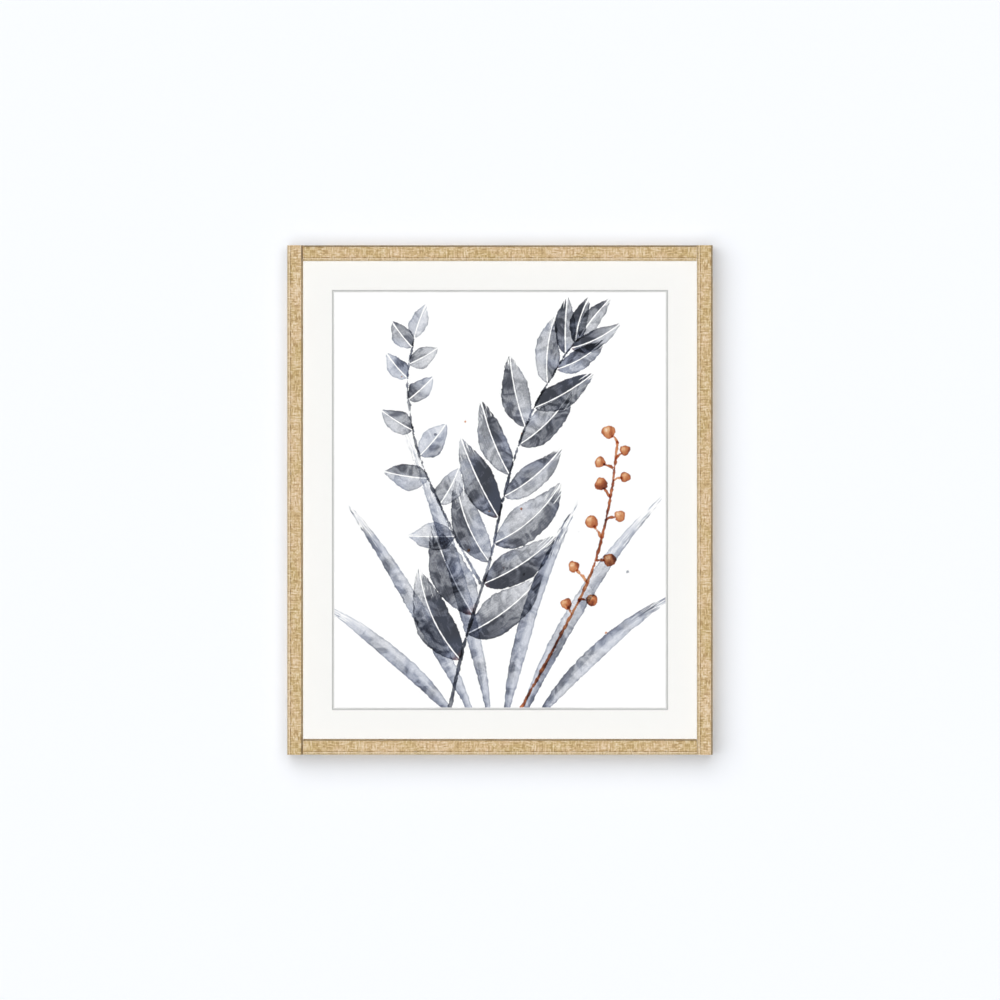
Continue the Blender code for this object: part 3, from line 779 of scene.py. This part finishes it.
def watercolour(wash_count):
    """Pigment ink on matt cotton paper: ragged wet edges with a darker rim, blooms, specks
    of pigment and dry-brush streaks. The grain is drawn at 1.5 mm, coarser than real.
    """
    made, add, shader = new_material(
        "watercolour_on_paper", Roughness=0.9, Specular_IOR_Level=0.2
    )
    where = add("TexCoord", output=3)
    torn = add("TexNoise", {"Vector": where, "Scale": 160.0, "Detail": 3.0})
    frayed = add("TexNoise", {"Vector": where, "Scale": 620.0, "Detail": 2.0})
    grain = add("TexNoise", {"Vector": where, "Scale": 650.0, "Detail": 3.0})
    flow = add("TexNoise", {"Vector": where, "Scale": 38.0, "Detail": 3.0, "Distortion": 0.6})
    drift = add("TexNoise", {"Vector": where, "Scale": 24.0, "Detail": 2.0})
    pools = add("Math", flow, 4.0, operation="MULTIPLY")
    pools = add("Math", pools, 0.5, operation="PINGPONG")
    pools = add("MapRange", pools, 0.05, 0.5, 0.7, 1.25, interpolation_type="SMOOTHSTEP")
    ragged = add("Math", torn, 4.4, -3.0, operation="MULTIPLY_ADD")
    ragged = add("Math", frayed, 1.6, ragged, operation="MULTIPLY_ADD")
    specks = add("MapRange", grain, 0.3, 0.7, -0.07, 0.07)
    dabs = add("MapRange", drift, 0.35, 0.65, -0.3, 0.35)

    canvas = linear("#fbfbfb")
    for number in range(wash_count):
        laid = add("Attribute", output=1, attribute_name=f"wash_{number}")
        distance, pour, hue = [add("SeparateXYZ", laid, output=axis) for axis in range(3)]
        brushed = add("Attribute", output=1, attribute_name=f"brush_{number}")
        side, dry = [add("SeparateXYZ", brushed, output=axis) for axis in (0, 2)]

        # where this wash covers the paper: inside its torn edge, where the bristles touched,
        # and clear of a leaf's bare midrib
        depth = add("Math", distance, ragged, operation="ADD")
        inside = add("MapRange", depth, 0.0, 0.5, interpolation_type="SMOOTHSTEP")
        bristles = add("VectorMath", brushed, (0.8, 0.05, 0.0), operation="MULTIPLY")
        bristles = add("TexNoise", {"Vector": bristles, "Scale": 1.0, "Detail": 3.0})
        lifted = add("Math", dry, -0.42, bristles, operation="MULTIPLY_ADD")
        touched = add("MapRange", lifted, 0.16, 0.24, interpolation_type="SMOOTHSTEP")
        rib = add("Math", side, operation="ABSOLUTE")
        rib = add("Math", torn, -1.5, rib, operation="MULTIPLY_ADD")
        off_rib = add("MapRange", rib, -0.25, 0.25, interpolation_type="SMOOTHSTEP")
        cover = add("Math", inside, touched, operation="MULTIPLY")
        cover = add("Math", cover, off_rib, operation="MULTIPLY")

        # how strong the paint is there
        strength = add("Math", pour, pools, operation="MULTIPLY")
        streaky = add("Math", bristles, 0.7, 0.65, operation="MULTIPLY_ADD")
        strength = add("Math", strength, streaky, specks, operation="MULTIPLY_ADD")
        rim = add("MapRange", depth, 0.6, 2.8, 0.16, 0.0, interpolation_type="SMOOTHSTEP")
        strength = add("Math", strength, rim, operation="ADD")

        # which paint: slate drifts into haze and back, rust keeps apart
        mixes = {}
        for paint, shades in SHADES.items():
            stops = [(step / (len(shades) - 1), shade) for step, shade in enumerate(shades)]
            mixes[paint] = add("ValToRGB", strength, stops=stops)
        hazy = add("Math", hue, dabs, operation="ADD")
        hazy = add("MapRange", hazy, 0.0, 0.5, interpolation_type="SMOOTHSTEP")
        rusty = add("MapRange", hue, 0.5, 0.85)
        paint = mixes["slate"]
        for share, other in ((hazy, "haze"), (rusty, "rust")):
            paint = {0: share, 6: paint, 7: mixes[other]}
            paint = add("Mix", paint, output=2, data_type="RGBA")
        glaze = {0: cover, 6: canvas, 7: paint}
        canvas = add("Mix", glaze, output=2, data_type="RGBA", blend_type="MULTIPLY")

    bump = add("Bump", {"Strength": 0.1, "Distance": 0.1 * MM, "Height": grain})
    connect(shader, Base_Color=canvas, Normal=bump)
    return made


painted = watercolour(len(washes))
sheet = set_down(
    print_bm, "print_on_paper", "print_sheet", "art_paper", painted, sharp_from=30
)
for number, wash in enumerate(washes):
    for name, columns in (("wash", wash[:, :3]), ("brush", wash[:, 3:])):
        layer = sheet.data.attributes.new(f"{name}_{number}", "FLOAT_VECTOR", "POINT")
        layer.data.foreach_set("vector", columns.astype(np.float32).ravel())

# ---------------------------------------------------------------- backing board
# Tempered hardboard, smooth brown with matted fibres, cut to the size of the glass. It
# closes the frame behind the print and keeps the sheets flat.

BOARD_EDGE = 0.4 * MM  # how far its edges are worn round


def hardboard():
    """Pressed wood fibre: long pale and dark fibres lying every way in the board's face."""
    made, add, shader = new_material("tempered_hardboard", Roughness=0.6)
    where = add("TexCoord", output=3)
    matted = 0.0
    for turn in (0.4, -0.9, 1.5):
        lie = {"Vector": where, "Rotation": (0, turn, 0), "Scale": (1300.0, 1.0, 130.0)}
        fibres = add("TexNoise", {"Vector": add("Mapping", lie), "Scale": 1.0, "Detail": 2.0})
        matted = add("Math", matted, fibres, operation="MAXIMUM")
    cloud = add("TexNoise", {"Vector": where, "Scale": 14.0, "Detail": 3.0})
    tone = add("Mix", {0: 0.3, 2: matted, 3: cloud})
    colour = add("ValToRGB", tone, stops=((0.42, "#5d3f27"), (0.68, "#8d6a48")))
    bump = add("Bump", {"Strength": 0.25, "Distance": 0.1 * MM, "Height": matted})
    connect(shader, Base_Color=colour, Normal=bump)
    return made


back = sheet_mesh("backing_board", BOARD_EDGE)
set_down(back, "hardboard_backing", "backing_board", "hardboard", hardboard())

# ---------------------------------------------------------------- steel points
# Flat galvanised points, driven into the rabbet's wall so that they hold the layers in.
# Each has a stiffening rib, and its free end is bent up for a thumb to lift.

POINT_T = 0.5 * MM
POINT_DRIVEN = 8.0 * MM
POINT_TONGUE = 15.0 * MM
POINT_BEND = 11.0 * MM
POINT_LIFT = 1.2 * MM
POINT_HALF_W = 7.0 * MM
POINT_TIP_HALF_W = 1.5 * MM
POINT_RIB = 0.35 * MM
POINT_NARROWING = 0.22  # of the lifted tongue, to its end
POINT_EDGE = 0.12 * MM  # rounding that the stamping leaves


def front_of(node):
    """The middle of the front of a CAD node's box."""
    low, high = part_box(node)
    return Vector(((low.x + high.x) / 2, low.y, (low.z + high.z) / 2))


def sharp_edges(bm, angle):
    """The edges whose faces meet at more than this angle."""
    return [edge for edge in bm.edges if edge.calc_face_angle(0) > angle]


def point_mesh():
    """One point along X, from the tip in the wood to the lifted tongue."""
    bm = bmesh.new()
    bmesh.ops.create_grid(bm, x_segments=23, y_segments=10, size=0.5)
    for vert in bm.verts:
        along = -POINT_DRIVEN + (vert.co.x + 0.5) * (POINT_DRIVEN + POINT_TONGUE)
        driven = min(max(-along / POINT_DRIVEN, 0), 1)
        free = min(max((along - POINT_BEND) / (POINT_TONGUE - POINT_BEND), 0), 1)
        half = POINT_HALF_W + (POINT_TIP_HALF_W - POINT_HALF_W) * driven
        across = 2 * vert.co.y * half * (1 - POINT_NARROWING * free**2)
        rib = POINT_RIB * math.exp(-((across / MM) ** 2)) * (1 - free) * (1 - driven)
        vert.co = (along, POINT_LIFT * free**1.5 + rib, across)
    bm.normal_update()
    bmesh.ops.solidify(bm, geom=bm.faces[:], thickness=POINT_T)
    bmesh.ops.recalc_face_normals(bm, faces=bm.faces)
    soften(bm, sharp_edges(bm, 1.0), POINT_EDGE)
    return bm


def galvanised_steel():
    """Bright zinc on steel: a pale grey metal with soft spangles and fine handling marks."""
    made, add, shader = new_material("galvanised_steel", Metallic=1.0)
    where = add("TexCoord", output=3)
    spangle = add("TexVoronoi", {"Vector": where, "Scale": 260.0}, output=1)
    marks = add("TexNoise", {"Vector": where, "Scale": 700.0, "Detail": 3.0})
    tone = add("Mix", {0: 0.6, 2: spangle, 3: marks})
    colour = add("ValToRGB", tone, stops=((0.25, "#a9abab"), (0.75, "#d8dad9")))
    rough = add("MapRange", marks, 0.3, 0.7, 0.28, 0.5)
    bump = add("Bump", {"Strength": 0.15, "Distance": 0.05 * MM, "Height": marks})
    connect(shader, Base_Color=colour, Roughness=rough, Normal=bump)
    return made


zinc = galvanised_steel()
for side, count, turn in (
    ("left", 4, 0),
    ("right", 4, math.pi),
    ("top", 3, math.pi / 2),
    ("bottom", 3, -math.pi / 2),
):
    for number in range(1, count + 1):
        node = f"point_{side}_{number}"
        to_foot = Matrix.Translation(((POINT_DRIVEN - POINT_TONGUE) / 2, 0, 0))
        place = Matrix.Translation(front_of(node)) @ Matrix.Rotation(turn, 4, "Y") @ to_foot
        set_down(point_mesh(), "steel_" + node, node, "zinc_plate", zinc, place=place)

# ---------------------------------------------------------------- corner plates and screws
# Flat zinc-plated steel plates across the butt joints, each held by four small screws with
# domed heads and cross recesses, turned home to different angles.

PLATE_W = 10.5 * MM
PLATE_EDGE = 0.15 * MM  # rounding that the stamping leaves
DRILL_L = 4 * MM  # goes right through any plate
SCREW_HEAD_R = 2.9 * MM
SCREW_HEAD_T = 1.3 * MM
SCREW_R = 1.3 * MM
SCREW_L = 13.2 * MM
CROSS_SIZE = (2.1 * MM, 2.1 * MM, 0.62 * MM)  # of the box that cuts each slot, turned on edge


def flat_plate(outline, low, thickness, rounding):
    """A plate of this (x, z) outline with rounded corners, its front at y = low."""
    bm = bmesh.new()
    face = bm.faces.new([bm.verts.new((x, low, z)) for x, z in outline])
    soften(bm, list(face.verts), rounding, segments=4, affect="VERTICES")
    grown = bmesh.ops.extrude_face_region(bm, geom=bm.faces[:], use_keep_orig=True)["geom"]
    bmesh.ops.translate(bm, verts=only(bmesh.types.BMVert, grown), vec=(0, thickness, 0))
    bmesh.ops.recalc_face_normals(bm, faces=bm.faces)
    return bm


def carve(bm, cutter):
    """The first bmesh less the second. Both are used up."""
    blank, tool = as_object(bm, "blank"), as_object(cutter, "tool")
    cut = blank.modifiers.new("cut", "BOOLEAN")
    cut.operation = "DIFFERENCE"
    cut.object = tool
    shown = blank.evaluated_get(bpy.context.evaluated_depsgraph_get())
    carved = bmesh.new()
    carved.from_mesh(shown.to_mesh())
    shown.to_mesh_clear()
    for used in (blank, tool):
        bpy.data.meshes.remove(used.data)
    return carved


def drill(bm, holes, radius):
    """The bmesh with round holes along Y through it at these places."""
    cutter = bmesh.new()
    for hole in holes:
        bmesh.ops.create_cone(
            cutter,
            cap_ends=True,
            segments=24,
            radius1=radius,
            radius2=radius,
            depth=DRILL_L,
            matrix=Matrix.Translation(hole) @ Matrix.Rotation(math.pi / 2, 4, "X"),
        )
    return carve(bm, cutter)


def turned(profile, steps):
    """A solid of revolution about Y from (radius, y) points that start and end on the axis."""
    bm = bmesh.new()
    verts = [bm.verts.new((radius, y, 0)) for radius, y in profile]
    edges = [bm.edges.new(pair) for pair in zip(verts, verts[1:])]
    bmesh.ops.spin(
        bm,
        geom=verts + edges,
        axis=(0, 1, 0),
        cent=(0, 0, 0),
        angle=math.tau,
        steps=steps,
        use_merge=True,
    )
    bmesh.ops.remove_doubles(bm, verts=bm.verts, dist=TOUCHING)
    bmesh.ops.recalc_face_normals(bm, faces=bm.faces)
    return bm


def quarter_round(radius, y, out, up, steps=6):
    """Profile points of a rounded edge that goes out from this point and up to its crown."""
    turns = [math.pi / 2 * step / steps for step in range(steps + 1)]
    return [(radius + out * math.cos(t), y + up * math.sin(t)) for t in turns]


def pin_mesh(head_r, head_t, shank_r, shank_l):
    """A pointed shank under a domed head, which sits on y = 0."""
    profile = [(0, -shank_l), (shank_r, -shank_l + 2.5 * shank_r), (shank_r, 0), (head_r, 0)]
    rim = head_t / 4
    return turned(profile + quarter_round(0, rim, head_r, head_t - rim), steps=32)


def screw_mesh():
    """A small wood screw with a cross recess."""
    bm = pin_mesh(SCREW_HEAD_R, SCREW_HEAD_T, SCREW_R, SCREW_L)
    for _ in range(2):
        slot = bmesh.new()
        lie = Matrix.Translation((0, SCREW_HEAD_T * 1.2, 0)) @ Matrix.Rotation(math.pi / 4, 4, "Z")
        lie @= Matrix.Diagonal((*CROSS_SIZE, 1))
        bmesh.ops.create_cube(slot, size=1, matrix=lie)
        bm = carve(bm, slot)
        bmesh.ops.rotate(bm, verts=bm.verts, matrix=Matrix.Rotation(math.pi / 2, 3, "Y"))
    return bm


screw_blank = screw_mesh()
for upright, side_z in (("top", 1), ("bottom", -1)):
    for across, side_x in (("left", -1), ("right", 1)):
        node = f"corner_plate_{upright}_{across}"
        low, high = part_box(node)
        corner_x = low.x if side_x < 0 else high.x
        corner_z = high.z if side_z > 0 else low.z
        leg = high.x - low.x
        outline = [(0, 0), (leg, 0), (leg, PLATE_W), (PLATE_W, PLATE_W), (PLATE_W, leg), (0, leg)]
        outline = [(corner_x - side_x * x, corner_z - side_z * z) for x, z in outline]
        plate = flat_plate(outline, low.y, high.y - low.y, PLATE_W / 5)
        holes = []
        for number in range(1, 5):
            screw_node = f"screw_{upright}_{across}_{number}"
            tip = front_of(screw_node)
            holes.append((tip.x, low.y, tip.z))
            place = Matrix.Translation(tip + Vector((0, SCREW_L, 0)))
            place @= Matrix.Rotation(rng.uniform(0, 1.6), 4, "Y")
            screw = screw_blank.copy()
            set_down(screw, "steel_" + screw_node, screw_node, "zinc_plate", zinc, place=place)
        plate = drill(plate, holes, SCREW_R + GAP)
        soften(plate, sharp_edges(plate, 0.9), PLATE_EDGE)
        set_down(plate, "steel_" + node, node, "zinc_plate", zinc)
screw_blank.free()

# ---------------------------------------------------------------- sawtooth hanger
# A brass-plated strip with a raised, toothed middle that the wall nail bites into, nailed to
# the back of the top rail at both ends.

HANGER_LOW, HANGER_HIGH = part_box("sawtooth_hanger")
HANGER_T = 0.9 * MM
HANGER_LIFT = 1.5 * MM
HANGER_CORNER = 0.25 * MM
HANGER_EDGE = 0.1 * MM
BRIDGE_HALF = 17.0 * MM
BRIDGE_RAMP = 2.0 * MM
TOOTH_PITCH = 4.0 * MM
TOOTH_D = 1.5 * MM
TEETH = 7
HANGER_NAIL_X = 24.5 * MM
NAIL_HEAD_R = 2.1 * MM
NAIL_HEAD_T = 0.9 * MM
NAIL_R = 0.7 * MM
NAIL_L = 9.9 * MM


def hanger_mesh():
    """The strip cut flat with its teeth, then its middle pressed up along two bend lines."""
    low, top = HANGER_LOW.y, HANGER_HIGH.z
    ends = [(HANGER_HIGH.x, 0), (BRIDGE_HALF + BRIDGE_RAMP, 0), (BRIDGE_HALF, -TOOTH_D)]
    first_tooth = -TEETH * TOOTH_PITCH / 2
    teeth = [
        (first_tooth + i * TOOTH_PITCH / 2, 0 if i % 2 else -TOOTH_D) for i in range(2 * TEETH + 1)
    ]
    lower = [(-x, z) for x, z in ends] + teeth + ends[::-1]
    outline = lower + [(HANGER_HIGH.x, top), (HANGER_LOW.x, top)]
    bm = flat_plate(outline, low, HANGER_T, HANGER_CORNER)
    holes = [(x, low, top / 2) for x in (-HANGER_NAIL_X, HANGER_NAIL_X)]
    bm = drill(bm, holes, NAIL_R + GAP)
    for share in (0, 0.25, 0.5, 0.75, 1):
        for side in (-1, 1):
            geometry = bm.verts[:] + bm.edges[:] + bm.faces[:]
            bend = (side * (BRIDGE_HALF + share * BRIDGE_RAMP), 0, 0)
            bmesh.ops.bisect_plane(bm, geom=geometry, plane_co=bend, plane_no=(1, 0, 0))
    for vert in bm.verts:
        share = min(max(1 - (abs(vert.co.x) - BRIDGE_HALF) / BRIDGE_RAMP, 0), 1)
        vert.co.y += HANGER_LIFT * share * share * (3 - 2 * share)
    soften(bm, sharp_edges(bm, 1.0), HANGER_EDGE)
    return bm


def plated_brass():
    """Brass plating on steel: warm yellow metal, slightly dulled, with fine rolling marks."""
    made, add, shader = new_material("brass_plated_steel", Metallic=1.0)
    where = add("TexCoord", output=3)
    rolled = add("VectorMath", where, (120.0, 1500.0, 1500.0), operation="MULTIPLY")
    marks = add("TexNoise", {"Vector": rolled, "Scale": 1.0, "Detail": 3.0})
    tarnish = add("TexNoise", {"Vector": where, "Scale": 220.0, "Detail": 3.0})
    tone = add("Mix", {0: 0.5, 2: marks, 3: tarnish})
    colour = add("ValToRGB", tone, stops=((0.35, "#b08d46"), (0.62, "#e0c277")))
    rough = add("MapRange", tarnish, 0.3, 0.7, 0.24, 0.42)
    bump = add("Bump", {"Strength": 0.15, "Distance": 0.05 * MM, "Height": marks})
    connect(shader, Base_Color=colour, Roughness=rough, Normal=bump)
    return made


brass = plated_brass()
set_down(hanger_mesh(), "brass_sawtooth_hanger", "sawtooth_hanger", "brass_plate", brass)
for side in ("left", "right"):
    node = "hanger_nail_" + side
    nail = pin_mesh(NAIL_HEAD_R, NAIL_HEAD_T, NAIL_R, NAIL_L)
    place = Matrix.Translation(front_of(node) + Vector((0, NAIL_L, 0)))
    set_down(nail, "brass_" + node, node, "brass_plate", brass, place=place)

# ---------------------------------------------------------------- bumpers
# Two self-adhesive discs of dark wool felt near the bottom corners, which keep the frame
# parallel to the wall.

FELT_R = 0.9 * MM  # of the soft upper edge
FELT_FOOT = 0.3 * MM  # glued down and smooth up to here
NAP_H = 0.06 * MM
NAP_WAVES = Vector((2900, 2500, 3300))  # radians for each metre


def felt_disc(radius, height):
    """A die-cut disc: a crisp foot, a soft upper edge and an uneven nap."""
    flat_r, side_h = radius - FELT_R, height - FELT_R
    profile = [(0, 0), (radius * 0.5, 0), (radius, 0), (radius, side_h / 2)]
    profile += quarter_round(flat_r, side_h, FELT_R, FELT_R)
    profile += [(radius * 0.6, height), (radius * 0.3, height), (0, height)]
    bm = turned(profile, steps=48)
    for vert in bm.verts:
        if vert.co.y > FELT_FOOT:
            waves = vert.co * NAP_WAVES
            vert.co += vert.normal * NAP_H * math.sin(waves.x) * math.sin(waves.z + waves.y)
    return bm


def wool_felt():
    """Pressed charcoal wool: short tangled fibres, no shine."""
    made, add, shader = new_material("charcoal_wool_felt", Roughness=1.0, Sheen_Weight=0.2)
    where = add("TexCoord", output=3)
    fibres = add("TexNoise", {"Vector": where, "Scale": 1600.0, "Detail": 4.0})
    colour = add("ValToRGB", fibres, stops=((0.35, "#2b2a29"), (0.7, "#5c5955")))
    bump = add("Bump", {"Strength": 0.5, "Distance": 0.2 * MM, "Height": fibres})
    connect(shader, Base_Color=colour, Normal=bump)
    return made


felt = wool_felt()
for side in ("left", "right"):
    node = "bumper_" + side
    low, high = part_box(node)
    disc = felt_disc((high.x - low.x) / 2, high.y - low.y)
    place = Matrix.Translation(front_of(node))
    set_down(disc, "felt_" + node, node, "felt", felt, place=place)

# ---------------------------------------------------------------- studio
# A white wall behind the picture, a pale floor well below it, and even light straight from
# the front, so that the glass shows no glare. Fainter lamps light the sides and the back. The
# wall has its own broad lamp, which throws the frame's soft shadow to the right and down.

WALL_SIZE = 30.0
FLOOR_Z = -1.6


def stage_sheet(name, place, glow=0.0, glow_colour="#ffffff"):
    """A big plain square that throws no light on the picture and glows this much by itself."""
    bm = bmesh.new()
    bmesh.ops.create_grid(bm, x_segments=1, y_segments=1, size=WALL_SIZE / 2, matrix=place)
    sheet = as_object(bm, name)
    made, add, shader = new_material(
        name,
        Base_Color=linear("#ffffff"),
        Roughness=1.0,
        Specular_IOR_Level=0.0,
        Emission_Color=linear(glow_colour),
        Emission_Strength=glow,
    )
    sheet.data.materials.append(made)
    sheet.visible_diffuse = False
    sheet.visible_glossy = False
    sheet.visible_shadow = False
    return sheet, add, shader


upright = Matrix.Translation((0, 0, FLOOR_Z + WALL_SIZE / 2)) @ Matrix.Rotation(math.pi / 2, 4, "X")
wall, add, plaster = stage_sheet("wall", upright)
from_behind = add("NewGeometry", output=6)  # the wall is seen through from its back
shown = add("MixShader", from_behind, plaster.outputs[0], add("BsdfTransparent"))
surface = plaster.id_data.nodes["Material Output"].inputs["Surface"]
plaster.id_data.links.new(shown, surface)
stage_sheet("floor", Matrix.Translation((0, 0, FLOOR_Z)), 0.6, "#f4f3f1")


def sun(name, heading, brightness, softness, on_wall):
    """A distant lamp that shines along heading, on the wall alone or on all but the wall.

    brightness is what a white surface square to it gives back, softness its angle in degrees.
    """
    lamp = bpy.data.lights.new(name, "SUN")
    lamp.energy = brightness * math.pi
    lamp.angle = math.radians(softness)
    stand = bpy.data.objects.new(name, lamp)
    stand.rotation_euler = Vector(heading).to_track_quat("-Z", "Y").to_euler()
    bpy.context.scene.collection.objects.link(stand)
    lit = bpy.data.collections.new(name + "_lights")
    lit.objects.link(wall)
    lit.collection_objects[0].light_linking.link_state = "INCLUDE" if on_wall else "EXCLUDE"
    stand.light_linking.receiver_collection = lit
    return stand


key = sun("key_light", (0, 1, 0), 1.05, 6, on_wall=False)
wall_light = sun("wall_light", (0.26, 1, -0.22), 0.98, 92, on_wall=True)
wall_light.data.color = linear("#f7faff")[:3]
back_light = sun("back_light", (0, -1, 0), 0.9, 30, on_wall=False)
for lamp in (key, wall_light, back_light):  # too harsh for the glass and the metal to mirror
    lamp.visible_glossy = False
    lamp.visible_transmission = False
back_glow = sun("back_glow", (0, -1, 0), 0.9, 150, on_wall=False)
back_glow.visible_diffuse = False  # only the metal at the back mirrors it
for name, heading in (
    ("left", (1, 0, 0)),
    ("right", (-1, 0, 0)),
    ("upper", (0, 0, -1)),
    ("lower", (0, 0, 1)),
):
    sun(name + "_light", heading, 0.2, 4, on_wall=False)

world = bpy.data.worlds.new("studio")
bpy.context.scene.world = world
world.use_nodes = True
backdrop = world.node_tree.nodes["Background"]
add = functools.partial(add_node, world.node_tree)
tint = {0: add("LightPath"), 6: (0.1, 0.1, 0.1, 1), 7: (0.85, 0.85, 0.85, 1)}  # lit, seen
connect(backdrop, Color=add("Mix", tint, output=2, data_type="RGBA"))

CAMERA_DISTANCE = 10.079  # to the face of the mat
camera = bpy.data.cameras.new("camera")
camera.lens = 300
camera.sensor_width = 36
camera_stand = bpy.data.objects.new("camera", camera)
camera_stand.location = (0, MAT_LOW.y - CAMERA_DISTANCE, MIDDLE_Z)
camera_stand.rotation_euler = (math.pi / 2, 0, 0)
bpy.context.scene.collection.objects.link(camera_stand)
bpy.context.scene.camera = camera_stand
bpy.context.scene.view_settings.view_transform = "Standard"
